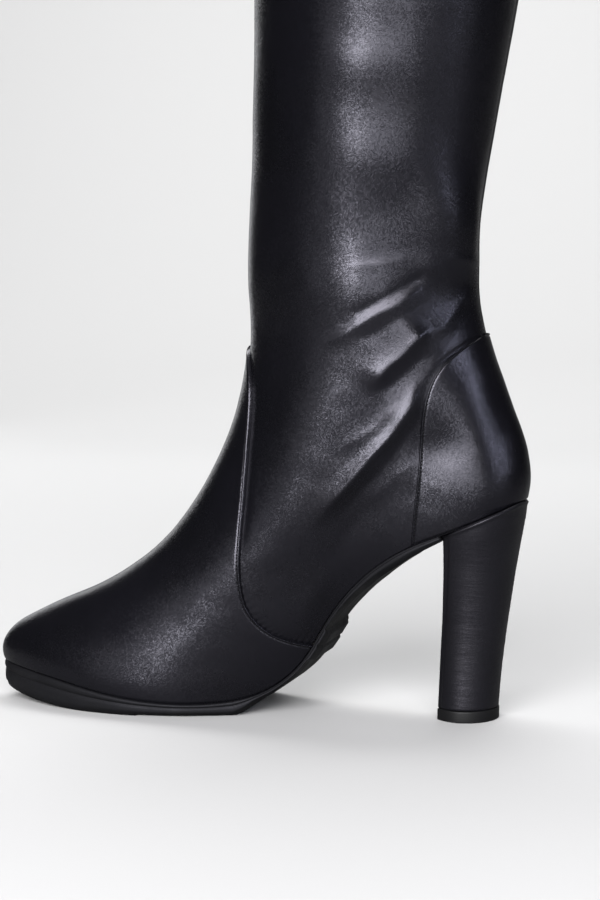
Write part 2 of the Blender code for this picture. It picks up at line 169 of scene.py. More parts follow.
# Creases of the worn-in ankle: side (1 inner, -1 outer), height, half width above and below the
# crest, then x and z along it from the toe side to the heel side
CREASES = (
    # inner side: the upper fold, with the narrow trough over it and the valley under it
    (1, 0.80, 1.7, 4.4, (56, 161), (48, 164), (42, 167.5), (36, 171), (30.5, 174.5), (24.5, 177.5),
     (19, 181), (14, 185.5), (10.5, 189.5)),
    (1, -0.55, 1.9, 2, (43, 173), (36.5, 176), (31, 179), (25, 182.5), (19.5, 186), (14.5, 189.5),
     (9.5, 194)),
    (1, -0.40, 3.5, 4.5, (42, 162), (36.5, 164.5), (30.5, 167), (25, 170.5), (19, 174), (13.5, 178),
     (8, 183)),
    # a fine line above it, and its short end at the back
    (1, 0.22, 1.1, 3, (44, 194), (36.5, 195), (31, 195.5), (25, 196.5), (15, 198.5)),
    (1, 0.55, 3, 1.8, (6, 198.5), (-1.5, 197.5), (-7, 196.5), (-9.5, 196)),
    # the second fold, full and round with a sharp lower edge, and the valley under it
    (1, 2.10, 6, 3, (34, 141), (29.5, 147.5), (25, 153), (21.5, 156), (18.5, 159), (16, 162),
     (13, 165.5), (9, 171)),
    (1, -0.60, 4, 5, (30, 139.5), (25, 145), (19, 150), (14, 155), (10, 160)),
    # the long fold down to the arch, with a fainter one above it and a valley behind it
    (1, 2.90, 4.6, 3.6, (59, 82), (56, 87), (51, 94), (44, 102), (37.5, 109.5), (31.5, 116.5),
     (25, 123.5), (21, 129), (17.5, 135), (16, 140), (15, 145), (14.5, 150)),
    (1, 0.35, 4, 4, (48, 115.5), (44, 119), (37.5, 123), (31, 127.5), (24.5, 134), (20, 139)),
    (1, -0.90, 4.5, 5.5, (54, 80), (47.5, 87.5), (38.5, 99.5), (32, 106), (25.5, 114), (19.5, 122.5),
     (15, 129), (12.5, 136), (11.5, 143), (11.5, 149)),
    (1, 0.40, 4.5, 9, (36, 93), (31, 98.5), (25, 104.5), (19.5, 109), (14.5, 112), (11.5, 114)),
    # the small fold behind the ankle
    (1, 0.70, 4, 4, (9, 164), (6.5, 167), (4, 170), (2, 173.5), (-0.5, 178), (-3, 182.5), (-5, 187)),
    # outer side
    (-1, 1.10, 4.5, 3.2, (46, 146), (33, 149.5), (22, 156), (10, 163)),
    (-1, -0.95, 3.4, 4.4, (43, 139.5), (33, 143), (20, 149), (8, 156.5)),
    (-1, 0.80, 5, 3.4, (54, 160), (38, 163), (20, 170.5), (4, 178.5)),
    (-1, -0.60, 3, 3, (37, 171), (18, 178), (2, 185)),
    (-1, 0.35, 2, 2, (45, 190), (24, 194.5), (4, 197.5), (-9, 196.5)),
    (-1, 1.30, 7, 3.2, (55, 88), (47, 102), (35, 113), (23, 124), (15, 136), (12, 148)),
    (-1, -1.20, 3.6, 4, (41, 94), (28, 105), (17, 116), (10.5, 129), (8.5, 141)),
)
# Half the rounded width of a crest, the shares of a crease's length over which it rises and fades,
# and where creases and swells begin and end, from the middle of the leg towards their side
CREST_TURN = 0.9
RISE_SHARE, FADE_SHARE = 0.28, 0.22
CREASE_SIDE, SWELL_SIDE = (-3.0, 6.0), (0.0, 12.0)
# Broad soft unevenness of the shaft: side, x, z, half length, half height, height
SWELLS = (
    (1, 37, 277, 24, 11, 1.25),
    (1, 32, 239, 26, 14, 1),
    (1, 1.5, 213, 13, 19, 4.3),
    (1, 8.5, 193.5, 9, 8, 0.9),
    (1, 30, 184, 24, 13, 1.1),
    (1, 32, 312, 26, 20, 1.2),
    (1, 40, 352, 22, 16, 0.8),
    (1, 6, 118.5, 14, 10, -1.6),
    (1, -20.5, 128, 9, 25, -1.2),
    (-1, 30, 300, 22, 15, 0.9),
    (-1, 36, 262, 22, 10, -0.6),
    (-1, 24, 232, 18, 11, 0.8),
    (-1, 34, 345, 24, 14, 0.7),
)


def path_distance(path, x, z):
    """How far each place is above a crease (below it if negative), and how far along it, from 0 to 1."""
    path = natural_spline(range(len(path)), path)(np.linspace(0.0, len(path) - 1.0, 4 * len(path)))
    steps = np.diff(path, axis=0)
    lengths = np.hypot(steps[:, 0], steps[:, 1])
    starts = np.concatenate(((0.0,), np.cumsum(lengths)[:-1]))
    offset_x = x[..., None] - path[:-1, 0]
    offset_z = z[..., None] - path[:-1, 1]
    along = np.clip((offset_x * steps[:, 0] + offset_z * steps[:, 1]) / lengths ** 2, 0.0, 1.0)
    away = np.hypot(offset_x - along * steps[:, 0], offset_z - along * steps[:, 1])
    nearest = away.min(axis=-1, keepdims=True)
    weight = np.exp((nearest - away) / 0.7)
    share = np.sum(weight * (starts + along * lengths), axis=-1) / np.sum(weight, axis=-1) / lengths.sum()
    closest = away.argmin(axis=-1)[..., None]
    side = np.take_along_axis(steps[:, 0] * offset_z - steps[:, 1] * offset_x, closest, axis=-1)[..., 0]
    return np.where(side < 0.0, nearest[..., 0], -nearest[..., 0]), share


def crease_height(point, crease_share=1.0):
    """How far the creases and the broad swells lift or sink the leather at each point."""
    x, y, z = point[..., 0], point[..., 1], point[..., 2]
    height = np.zeros(x.shape)
    for side, lift, width_above, width_below, *path in CREASES:
        reach = 5.0 * max(width_above, width_below)
        path_x, path_z = np.array(path).T
        near = ((side * y > CREASE_SIDE[0]) & (x > path_x.min() - reach) & (x < path_x.max() + reach)
                & (z > path_z.min() - reach) & (z < path_z.max() + reach))
        away, share = path_distance(path, x[near], z[near])
        blend = smooth_step(-CREST_TURN, CREST_TURN, away)
        width = width_below + (width_above - width_below) * blend
        fall = np.exp(-(np.sqrt(away ** 2 + CREST_TURN ** 2) - CREST_TURN) / width * 1.2)
        fade = smooth_step(0.0, RISE_SHARE, share) * smooth_step(0.0, FADE_SHARE, 1.0 - share)
        height[near] += crease_share * lift * fall * fade * smooth_step(*CREASE_SIDE, side * y[near])
    for side, mid_x, mid_z, half_x, half_z, lift in SWELLS:
        shape = np.exp(-((x - mid_x) / half_x) ** 2 - ((z - mid_z) / half_z) ** 2)
        height += lift * shape * smooth_step(*SWELL_SIDE, side * y)
    return height


# Slow unevenness of the whole skin: height, size, and a shift that keeps the two waves apart
SKIN_WAVES = ((0.30, 26.0, 3.0), (0.10, 9.0, 7.0))


def slow_waves(point, size, shift):
    """A gentle unevenness of about one unit, with waves of the given size in millimetres."""
    waves = [noise.noise(Vector((x / size + shift, y / size, z / size)))
             for x, y, z in point.reshape(-1, 3).tolist()]
    return np.array(waves).reshape(point.shape[:-1])


def leather_surface(level, angle, outward, crease_share=1.0):
    """The leather's worn shape: the last's shape, its creases and its unevenness."""
    base = last_point(level, angle)
    lift = crease_height(base, crease_share)
    for height, size, shift in SKIN_WAVES:
        lift = lift + height * slow_waves(base, size, shift)
    return base + (outward + lift)[..., None] * outward_way(level, angle)


def levels_at_spacing(angle, fine_z, fine_step, coarse_step):
    """Levels whose points at this angle are a set distance apart, finer below fine_z."""
    levels = np.linspace(0.0, LAST_RING, 6000)
    line = last_point(levels, angle)
    step = np.linalg.norm(np.diff(line, axis=0), axis=1)
    wanted = np.where(line[1:, 2] < fine_z, fine_step, coarse_step)
    count = np.concatenate(((0.0,), np.cumsum(step / wanted)))
    return np.interp(np.linspace(0.0, count[-1], int(count[-1]) + 1), count, levels)


def grid_faces(rows, columns, closed):
    """Quads of a grid of points, row by row."""
    number = np.arange(rows * columns).reshape(rows, columns)
    following = np.roll(number, -1, axis=1)
    last = columns if closed else columns - 1
    quads = np.stack((number[:-1], following[:-1], following[1:], number[1:]), axis=-1)
    return quads[:, :last].reshape(-1, 4).tolist()


def make_piece(name, points, faces, material, slot, *nodes):
    """One visible piece, in metres, riding on the boot and standing for its solids."""
    mesh = bpy.data.meshes.new(name)
    mesh.from_pydata((np.asarray(points, float).reshape(-1, 3) * MM).tolist(), [], faces)
    mesh.shade_smooth()
    mesh.materials.append(material)
    piece = bpy.data.objects.new(name, mesh)
    bpy.context.scene.collection.objects.link(piece)
    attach(piece, "root")
    if nodes:
        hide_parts(*nodes)


def set_inputs(tree, node, values):
    """Gives each named input of a node a plain value, or a link from another node's socket."""
    for name, value in values.items():
        if isinstance(value, bpy.types.NodeSocket):
            tree.links.new(value, node.inputs[name])
        else:
            node.inputs[name].default_value = value


def add_node(tree, kind, inputs=None, **settings):
    """A shader node with its settings made and its inputs filled."""
    node = tree.nodes.new("ShaderNode" + kind)
    for name, value in settings.items():
        setattr(node, name, value)
    set_inputs(tree, node, inputs or {})
    return node


def math_node(tree, operation, first, second):
    """The result of a Math node."""
    return add_node(tree, "Math", {0: first, 1: second}, operation=operation).outputs[0]


def vector_node(tree, operation, **inputs):
    """The result of a Vector Math node. Its inputs are given as first, second, third or scale."""
    sockets = {"first": 0, "second": 1, "third": 2, "scale": "Scale"}
    values = {sockets[name]: value for name, value in inputs.items()}
    return add_node(tree, "VectorMath", values, operation=operation).outputs[0]


def new_group(name, inputs, output, output_kind):
    """A shader group with named number inputs and one named output."""
    group = bpy.data.node_groups.new(name, "ShaderNodeTree")
    for label, value in inputs.items():
        socket = group.interface.new_socket(name=label, in_out="INPUT", socket_type="NodeSocketFloat")
        socket.default_value = value
    group.interface.new_socket(name=output, in_out="OUTPUT", socket_type=output_kind)
    return group, group.nodes.new("NodeGroupInput").outputs, group.nodes.new("NodeGroupOutput")


def make_calf_grain():
    """Finished calf's fine pebble and pores, with grains that lean each its own way.

    Grains is how many lie in a metre, Depth their height in metres, Facets how far they lean.
    """
    group, given, result = new_group(
        "calf_grain", {"Grains": 1500.0, "Depth": 0.00005, "Facets": 0.1}, "Normal", "NodeSocketVector")
    place = add_node(group, "TexCoord").outputs["Object"]
    bend = add_node(group, "TexNoise", {"Vector": place, "Scale": 260.0, "Detail": 2.0})
    bent = vector_node(group, "MULTIPLY_ADD", first=bend.outputs["Color"], second=(0.0003, 0.0003, 0.0003),
                       third=place)
    pebble = add_node(group, "TexVoronoi", {"Vector": bent, "Scale": given["Grains"], "Smoothness": 0.6},
                      feature="SMOOTH_F1")
    pores = add_node(group, "TexNoise", {"Vector": place, "Detail": 3.0,
                                         "Scale": math_node(group, "MULTIPLY", given["Grains"], 1.7)})
    pore_height = math_node(group, "MULTIPLY", pores.outputs["Fac"], 0.55)
    height = math_node(group, "SUBTRACT", pore_height, pebble.outputs["Distance"])
    bump = add_node(group, "Bump", {"Strength": 1.0, "Distance": given["Depth"], "Height": height})
    facet = add_node(group, "TexVoronoi", {"Vector": place, "Scale": given["Grains"]})
    centred = vector_node(group, "SUBTRACT", first=facet.outputs["Color"], second=(0.5, 0.5, 0.5))
    lean = vector_node(group, "SCALE", first=centred, scale=given["Facets"])
    leaning = vector_node(group, "ADD", first=bump.outputs["Normal"], second=lean)
    set_inputs(group, result, {"Normal": vector_node(group, "NORMALIZE", first=leaning)})
    return group


def make_hand_sheen():
    """Cloudy difference in shine where the skin was rubbed, from 0 dull to 1 bright."""
    group, given, result = new_group(
        "hand_sheen", {"Clouds": 24.0, "Contrast": 1.0}, "Shine", "NodeSocketFloat")
    place = add_node(group, "TexCoord").outputs["Object"]
    broad = add_node(group, "TexNoise", {"Vector": place, "Scale": given["Clouds"], "Detail": 5.0,
                                         "Roughness": 0.6})
    speck = add_node(group, "TexNoise", {"Vector": place, "Scale": 900.0, "Detail": 2.0})
    fleck = math_node(group, "MULTIPLY", speck.outputs["Fac"], 0.35)
    mixed = math_node(group, "ADD", broad.outputs["Fac"], fleck)
    centred = math_node(group, "MULTIPLY", math_node(group, "SUBTRACT", mixed, 0.675), given["Contrast"])
    shine = math_node(group, "ADD", math_node(group, "MULTIPLY", centred, 2.2), 0.5)
    set_inputs(group, result, {"Shine": add_node(group, "Clamp", {"Value": shine}).outputs[0]})
    return group


calf_grain = make_calf_grain()
hand_sheen = make_hand_sheen()


def value_range(tree, value, low, high):
    """Turns 0 to 1 into low to high."""
    return add_node(tree, "MapRange", {"Value": value, "To Min": low, "To Max": high}).outputs["Result"]


def two_colours(tree, share, first, second):
    """A colour between two, by a share from 0 to 1."""
    values = {"Factor": share, "A": (*first, 1.0), "B": (*second, 1.0)}
    return add_node(tree, "Mix", values, data_type="RGBA").outputs["Result"]


def new_material(name):
    """A material, its node tree and its shader."""
    material = bpy.data.materials.new(name)
    material.use_nodes = True
    tree = material.node_tree
    return material, tree, tree.nodes["Principled BSDF"]


def colour_and_gloss(tree, shader, share, dark, light, dull, bright):
    """Runs colour from dark to light and roughness from dull to bright, by a share from 0 to 1."""
    set_inputs(tree, shader, {"Base Color": two_colours(tree, share, dark, light),
                              "Roughness": value_range(tree, share, dull, bright)})


def make_calf_leather(name, dull, bright):
    """Black calf: fine grain, cloudy shine between two roughnesses, a slight blue-violet cast."""
    material, tree, shader = new_material(name)
    sheen = add_node(tree, "Group", {"Clouds": 24.0, "Contrast": 1.0}, node_tree=hand_sheen)
    grain = add_node(tree, "Group", {"Grains": 2300.0, "Depth": 0.00003, "Facets": 0.12},
                     node_tree=calf_grain)
    colour_and_gloss(tree, shader, sheen.outputs["Shine"], (0.0016, 0.0016, 0.0022), (0.0034, 0.0033, 0.0046),
                     dull, bright)
    set_inputs(tree, shader, {"Specular IOR Level": 0.42, "Specular Tint": (0.88, 0.86, 1.0, 1.0),
                              "Normal": grain.outputs["Normal"]})
    return material


boot_leather = make_calf_leather("boot_leather", 0.30, 0.21)

UPPER_COLUMNS = 250
FOOT_TOP_Z = 205.0
TOP_Z = 600.0
OVERLAY_THICKNESS = 1.25
# Tops of the two overlays, and a place clear of every edge
COUNTER_TOP_Z, VAMP_TOP_Z, CLEAR_OF_EDGE = 165.2, 158.0, -8.0
TOPLINE_TURN = 14.0
# Back seam: the leg's radius there, depth, half width, and the heights over which it begins
BACK_SEAM_RADIUS, BACK_SEAM_DEPTH, BACK_SEAM_HALF, BACK_SEAM_START = 32.0, 0.45, 0.9, (168.0, 174.0)
COLLAR_STITCH_Z, COLLAR_PRESS, COLLAR_PRESS_HALF = 594.0, 0.25, 0.9
# Turned edges: how far each row goes in, and how far up
FEATHER_TURN = ((7.0, 0.6), (3.0, 0.1), (1.2, -0.1), (0.4, -0.05))
COLLAR_TURN = ((0.15, 0.5), (0.6, 0.95), (1.2, 1.1), (1.8, 0.95), (2.2, 0.5), (2.35, -0.3), (2.35, -7.0),
               (2.3, 0.5 - TOPLINE_TURN), (1.9, -TOPLINE_TURN))


def under_overlays(point):
    """The upper sinks a little where an overlay covers it, and is pressed down along its edge."""
    x, z = point[..., 0], point[..., 2]
    height = 0.0
    sunk = 0.0
    for into, top_z in ((counter_seam_x(z) - x, COUNTER_TOP_Z), (x - vamp_seam_x(z), VAMP_TOP_Z)):
        into = np.where(z < top_z, into, CLEAR_OF_EDGE)
        sunk = np.maximum(sunk, smooth_step(1.0, 3.5, into))
        height = height - 0.35 * np.exp(-((into + 0.3) / 1.8) ** 2)
    return height - 0.9 * sunk


def turned_in(edge, level, angle, turns):
    """Rows that carry an edge inward and up."""
    way = outward_way(level, angle)
    return [edge - way * inward + np.array((0.0, 0.0, rise)) for inward, rise in turns]


upper_levels = levels_at_spacing(math.pi / 2.0, FOOT_TOP_Z, 0.8, 4.0)
upper_angles = np.linspace(0.0, 2.0 * math.pi, UPPER_COLUMNS, endpoint=False)
level_grid, angle_grid = np.meshgrid(upper_levels, upper_angles, indexing="ij")
smooth_skin = last_point(level_grid, angle_grid)
# The halves of the leg meet in a closed seam down the back, above the counter
from_seam = np.abs((angle_grid + math.pi) % (2.0 * math.pi) - math.pi) * BACK_SEAM_RADIUS
back_seam = -BACK_SEAM_DEPTH * np.exp(-(from_seam / BACK_SEAM_HALF) ** 2)
back_seam = back_seam * smooth_step(*BACK_SEAM_START, smooth_skin[..., 2])
# The stitches round the collar press a line into it
collar_press = -COLLAR_PRESS * np.exp(-((smooth_skin[..., 2] - COLLAR_STITCH_Z) / COLLAR_PRESS_HALF) ** 2)
skin = leather_surface(level_grid, angle_grid, under_overlays(smooth_skin) + back_seam + collar_press)
upper_points = np.concatenate(
    turned_in(skin[:1], level_grid[:1], angle_grid[:1], FEATHER_TURN) + [skin]
    + turned_in(skin[-1:], level_grid[-1:], angle_grid[-1:], COLLAR_TURN))
make_piece("upper_leather", upper_points, grid_faces(len(upper_points), UPPER_COLUMNS, True),
           boot_leather, "black_leather", "upper")


# Lining. Thin dark leather glued inside the whole leg, cut off under the turned topline and
# tucked under the sock at the bottom.
LINING_COLUMNS = 140
LINING_DEPTH = 2.0
LINING_CREASE_SHARE = 0.8


def make_lining_leather():
    """Soft dark lining: matt, with a loose nap and cloudy rub marks."""
    material, tree, shader = new_material("lining_leather")
    sheen = add_node(tree, "Group", {"Clouds": 40.0, "Contrast": 0.8}, node_tree=hand_sheen)
    nap = add_node(tree, "Group", {"Grains": 2100.0, "Depth": 0.00004}, node_tree=calf_grain)
    colour_and_gloss(tree, shader, sheen.outputs["Shine"], (0.030, 0.027, 0.026), (0.055, 0.050, 0.047),
                     0.85, 0.62)
    set_inputs(tree, shader, {"Normal": nap.outputs["Normal"]})
    return material


lining_leather = make_lining_leather()
lining_levels = levels_at_spacing(math.pi / 2.0, FOOT_TOP_Z, 1.6, 4.0)
lining_levels = lining_levels[last_point(lining_levels, 0.0)[:, 2] < TOP_Z - TOPLINE_TURN + 2.0]
lining_angles = np.linspace(0.0, 2.0 * math.pi, LINING_COLUMNS, endpoint=False)
level_grid, angle_grid = np.meshgrid(lining_levels, lining_angles, indexing="ij")
lining_points = leather_surface(level_grid, angle_grid, np.full(level_grid.shape, -LINING_DEPTH),
                                LINING_CREASE_SHARE)
lining_faces = [face[::-1] for face in grid_faces(len(lining_levels), LINING_COLUMNS, True)]
make_piece("lining", lining_points, lining_faces, lining_leather, "lining")


# Heel counter. A second layer of the same calf over the back of the heel, over a hard
# stiffener. Its front edge is skived and folded, and one row of fine stitches holds it down.
EDGE_STEPS = np.array((0.0, 0.06, 0.16, 0.32, 0.52, 0.75, 0.98, 1.2, 1.45, 1.7, 2.0, 2.6))
EDGE_RADIUS = 0.7
EDGE_FOOT = 0.25
STITCH_FROM_EDGE = 1.45
# Depth and half width of the groove that the stitches press; height, place and half width of the roll
GROOVE_DEPTH, GROOVE_HALF = 0.32, 0.36
ROLL_HEIGHT, ROLL_FROM_EDGE, ROLL_HALF = 0.24, 0.75, 0.38
STITCH_PITCH, STITCH_LENGTH = 1.5, 1.05
# Stitches stop this far short of the overlay's top and of the feather line
STITCH_TOP_GAP, STITCH_BOTTOM_GAP = STITCH_FROM_EDGE + 0.3, 1.2
THREAD_RINGS, THREAD_SIDES = 6, 6


def edge_height(distance):
    """Height of a folded edge above the piece below, at a distance in from the edge."""
    share = 1.0 - np.clip(distance / EDGE_RADIUS, 0.0, 1.0)
    round_over = np.sqrt(np.clip(1.0 - share ** 2, 0.0, 1.0))
    groove = GROOVE_DEPTH * np.exp(-((distance - STITCH_FROM_EDGE) / GROOVE_HALF) ** 2)
    roll = ROLL_HEIGHT * np.exp(-((distance - ROLL_FROM_EDGE) / ROLL_HALF) ** 2)
    return -EDGE_FOOT + (OVERLAY_THICKNESS + EDGE_FOOT) * round_over - groove + roll


def seam_angle(levels, seam_x, side):
    """Where each level's ring crosses a seam, on one side of the foot."""
    angles = np.linspace(0.0, math.pi, 900)
    found = []
    for level in levels:
        ring = last_point(level, side * angles)
        found.append(side * np.interp(0.0, ring[:, 0] - seam_x(ring[:, 2]), angles))
    return np.array(found)


def ring_reach(level, angle):
    """Millimetres along the ring for one radian."""
    small = 1e-3
    ends = last_point(level, np.asarray(angle) + small) - last_point(level, np.asarray(angle) - small)
    return np.linalg.norm(ends, axis=-1) / (2.0 * small)


def overlay_grid(levels, seam_x, from_back, middle_columns):
    """Levels, angles and distances from the cut edge for an overlay with fine columns at its edges."""
    inner = seam_angle(levels, seam_x, 1.0)
    outer = seam_angle(levels, seam_x, -1.0)
    if not from_back:
        outer = outer + 2.0 * math.pi
    sign = -1.0 if from_back else 1.0
    inner_side = inner[:, None] + sign * EDGE_STEPS / ring_reach(levels, inner)[:, None]
    outer_side = outer[:, None] - sign * EDGE_STEPS / ring_reach(levels, outer)[:, None]
    share = np.linspace(0.0, 1.0, middle_columns + 2)[1:-1]
    middle = inner_side[:, -1:] + (outer_side[:, -1:] - inner_side[:, -1:]) * share
    angles = np.concatenate((inner_side, middle, outer_side[:, ::-1]), axis=1)
    level_rows = np.repeat(levels[:, None], angles.shape[1], axis=1)
    reach = ring_reach(level_rows, angles)
    away = np.minimum(np.abs(angles - inner[:, None]) * reach, np.abs(angles - outer[:, None]) * reach)
    return level_rows, angles, away


def level_where(angle, z):
    """The level whose point at this angle is at height z."""
    levels = np.linspace(0.0, LAST_RING, 4000)
    return float(np.interp(z, last_point(levels, angle)[:, 2], levels))


def rows_with_fine_ends(end, angle, spacing):
    """Levels from the feather line to the end, spacing apart at this angle and closer at both ends."""
    levels = np.linspace(0.0, end, 3000)
    line = last_point(levels, angle)
    done = np.concatenate(((0.0,), np.cumsum(np.linalg.norm(np.diff(line, axis=0), axis=1))))
    total = done[-1]
    edge = EDGE_STEPS[-1]
    middle = np.linspace(edge, total - edge, int((total - 2.0 * edge) / spacing) + 1)
    places = np.concatenate((EDGE_STEPS, middle[1:-1], total - EDGE_STEPS[::-1]))
    return np.interp(places, done, levels), places, total - places


def solid_faces(rows, columns):
    """Faces of a stack of closed sections, with one face over each end."""
    ends = [tuple(range(columns))[::-1], tuple(range(columns * (rows - 1), columns * rows))]
    return grid_faces(rows, columns, True) + ends


def make_thread(name, colour):
    """Waxed black polyester thread, with the twist of its plies."""
    material, tree, shader = new_material(name)
    place = add_node(tree, "TexCoord").outputs["Object"]
    twist = add_node(tree, "TexWave", {"Vector": place, "Scale": 900.0, "Distortion": 1.5},
                     wave_type="BANDS", bands_direction="DIAGONAL").outputs["Fac"]
    bump = add_node(tree, "Bump", {"Strength": 0.7, "Distance": 0.00006, "Height": twist})
    # Painted shade: the colour darkens to 0.6 of itself in the grooves of the twist, where the bump is low.
    shade = two_colours(tree, twist, tuple(part * 0.6 for part in colour), colour)
    set_inputs(tree, shader, {"Base Color": shade, "Normal": bump.outputs["Normal"], "Roughness": 0.75,
                              "Specular IOR Level": 0.12})
    return material


black_thread = make_thread("black_thread", (0.005, 0.005, 0.006))


def stitch_row(name, line, outward, pitch, length, radius):
    """A row of thread stitches along a line of points, each one sinking at its two ends."""
    done = np.concatenate(((0.0,), np.cumsum(np.linalg.norm(np.diff(line, axis=0), axis=1))))
    shares = np.linspace(-1.0, 1.0, THREAD_RINGS)
    turns = np.linspace(0.0, 2.0 * math.pi, THREAD_SIDES, endpoint=False)
    thick = radius * np.sqrt(np.clip(1.0 - (shares * 0.93) ** 2, 0.0, 1.0))
    stitch_faces = solid_faces(THREAD_RINGS, THREAD_SIDES)
    points, faces = [], []
    for number in range(int(done[-1] / pitch)):
        centre = (number + 0.5) * pitch
        place = centre + shares * length / 2.0
        spine = np.stack([np.interp(place, done, line[:, k]) for k in range(3)], axis=1)
        up = np.array([np.interp(centre, done, outward[:, k]) for k in range(3)])
        up = up / np.linalg.norm(up)
        along = spine[-1] - spine[0]
        along = along / np.linalg.norm(along)
        across = np.cross(along, up)
        spine = spine + up * (radius * 0.55 - 0.35 * radius * shares[:, None] ** 2)
        rings = spine[:, None] + thick[:, None, None] * (
            np.cos(turns)[None, :, None] * across + np.sin(turns)[None, :, None] * up)
        start = number * THREAD_RINGS * THREAD_SIDES
        points.append(rings.reshape(-1, 3))
        faces += [tuple(corner + start for corner in face) for face in stitch_faces]
    make_piece(name, np.concatenate(points), faces, black_thread, "black_leather")


def make_overlay(name, node, leather, seam_x, from_back, top_z, spacing, middle_columns, tuck, tuck_height,
                 crease_share, stitch_names, thread_radius):
    """An overlay with rounded edges, tucked in at the feather line, and a row of stitches on each side."""
    middle = 0.0 if from_back else math.pi
    levels, from_bottom, from_top = rows_with_fine_ends(level_where(middle, top_z), middle, spacing)
    rows, angles, from_edge = overlay_grid(levels, seam_x, from_back, middle_columns)
    height = edge_height(np.minimum(from_edge, from_top[:, None]))
    height = height - tuck * (1.0 - smooth_step(0.0, tuck_height, from_bottom))[:, None]
    points = leather_surface(rows, angles, height, crease_share)
    make_piece(name, points, grid_faces(*points.shape[:2], False), leather, "black_leather", node)
    stitched = levels[(from_top > STITCH_TOP_GAP) & (from_bottom > STITCH_BOTTOM_GAP)]
    stitch_height = np.full(stitched.shape, float(edge_height(np.array(STITCH_FROM_EDGE))))
    for label, side in (("inner", 1.0), ("outer", -1.0)):
        angle = seam_angle(stitched, seam_x, side)
        sign = -side if from_back else side
        angle = angle + sign * STITCH_FROM_EDGE / ring_reach(stitched, angle)
        line = leather_surface(stitched, angle, stitch_height, crease_share)
        stitch_row(stitch_names + label, line, outward_way(stitched, angle), STITCH_PITCH, STITCH_LENGTH,
                   thread_radius)


make_overlay("heel_counter_leather", "heel_counter", make_calf_leather("counter_leather", 0.28, 0.19),
             counter_seam_x, True, top_z=166.7, spacing=0.75, middle_columns=64, tuck=0.9, tuck_height=1.6,
             crease_share=0.35, stitch_names="counter_stitches_", thread_radius=0.26)


# Vamp. The same calf again over toe and instep, cut in one piece with a peak up the front of
# the ankle. Its edge is folded and glued down, with one row of stitches behind it.
make_overlay("vamp_leather_overlay", "vamp", make_calf_leather("vamp_leather", 0.30, 0.21),
             vamp_seam_x, False, top_z=161.0, spacing=1.15, middle_columns=110, tuck=0.7, tuck_height=1.4,
             crease_share=0.5, stitch_names="vamp_stitches_", thread_radius=0.24)


# Collar stitches. One row of the same thread round the leg, 6 mm below the fold, through the
# upper and its turned edge.
COLLAR_STEPS = 600
COLLAR_PITCH, COLLAR_STITCH_LENGTH, COLLAR_THREAD_RADIUS, COLLAR_STITCH_SUNK = 2.6, 1.9, 0.24, 0.2
collar_angles = np.linspace(0.0, 2.0 * math.pi, COLLAR_STEPS)
collar_levels = np.full(COLLAR_STEPS, level_where(0.0, COLLAR_STITCH_Z))
collar_line = leather_surface(collar_levels, collar_angles, np.full(COLLAR_STEPS, -COLLAR_STITCH_SUNK))
stitch_row("collar_stitches", collar_line, outward_way(collar_levels, collar_angles),
           COLLAR_PITCH, COLLAR_STITCH_LENGTH, COLLAR_THREAD_RADIUS)


# Sock. A thin sheet of the lining leather over the insole board, glued down inside the foot and
# turned up a little along its edge.
SOCK_INSET = 2.2
SOCK_ROWS, SOCK_ACROSS = 130, 15
# Where the sock starts and stops, as angles from the back and from the tip of the toe
SOCK_HEEL_GAP, SOCK_TOE_GAP = 0.12, 0.06
SOCK_TOP, SOCK_BOTTOM, SOCK_EDGE_RISE = 2.7, 0.2, 0.9
sock_angles = np.linspace(SOCK_HEEL_GAP, math.pi - SOCK_TOE_GAP, SOCK_ROWS)
sock_inner = last_point(0.0, sock_angles) - SOCK_INSET * outward_way(0.0, sock_angles)
sock_outer = last_point(0.0, -sock_angles) - SOCK_INSET * outward_way(0.0, -sock_angles)
share = np.linspace(0.0, 1.0, SOCK_ACROSS)[None, :, None]
sock_top = sock_outer[:, None] * (1.0 - share) + sock_inner[:, None] * share
sock_base = feather_z(np.clip(sock_top[..., 0], FEATHER_X[0], FEATHER_X[-1]))
sock_low = sock_top[:, ::-1].copy()
sock_top[..., 2] = sock_base + SOCK_TOP + SOCK_EDGE_RISE * np.abs(2.0 * share[..., 0] - 1.0) ** 3
sock_low[..., 2] = sock_base[:, ::-1] + SOCK_BOTTOM
sock_points = np.concatenate((sock_top, sock_low), axis=1)
make_piece("sock", sock_points, solid_faces(*sock_points.shape[:2]), lining_leather, "lining", "insole")


# Outsole. A moulded rubber unit under forefoot and waist, cemented to the lasted upper. A lip
# runs round its top above a groove, two bars stand under the waist, and ribs cross the tread.
SOLE_START_X = 5.5
SOLE_X = (5.5, 14.0, 26.0, 40.0, 50.0, 57.4, 57.9, 60.9, 61.4, 61.9, 65.1, 65.6, 74.0, 84.0, 97.0)
SOLE_THICKNESS = (2.4, 3.4, 4.6, 4.4, 3.2, 1.8, 3.9, 3.7, 2.6, 3.9, 3.6, 2.0, 2.2, 2.8, 5.7)
STANCE_START_X, STANCE_END_X, ARCH_BLEND_X, TOE_SPRING = 97.0, 160.0, 86.0, 6.0
EDGE_INSET_X = (5.5, 30.0, 44.0, 75.0, 97.0, 136.7, 137.3)
EDGE_INSET = (0.5, 1.5, 5.5, 5.5, 3.5, 3.5, 1.2)
SOLE_GAP = 0.15
# Side of the sole: share of the edge's height from the top, and how far it stands out
SIDE_PROFILE = ((0.0, -0.5), (0.04, 0.05), (0.12, 0.30), (0.24, 0.30), (0.32, 0.05), (0.36, -0.40),
                (0.40, -0.40), (0.46, -0.05), (0.60, 0.05), (0.80, 0.05), (0.92, -0.1), (1.0, -0.6))
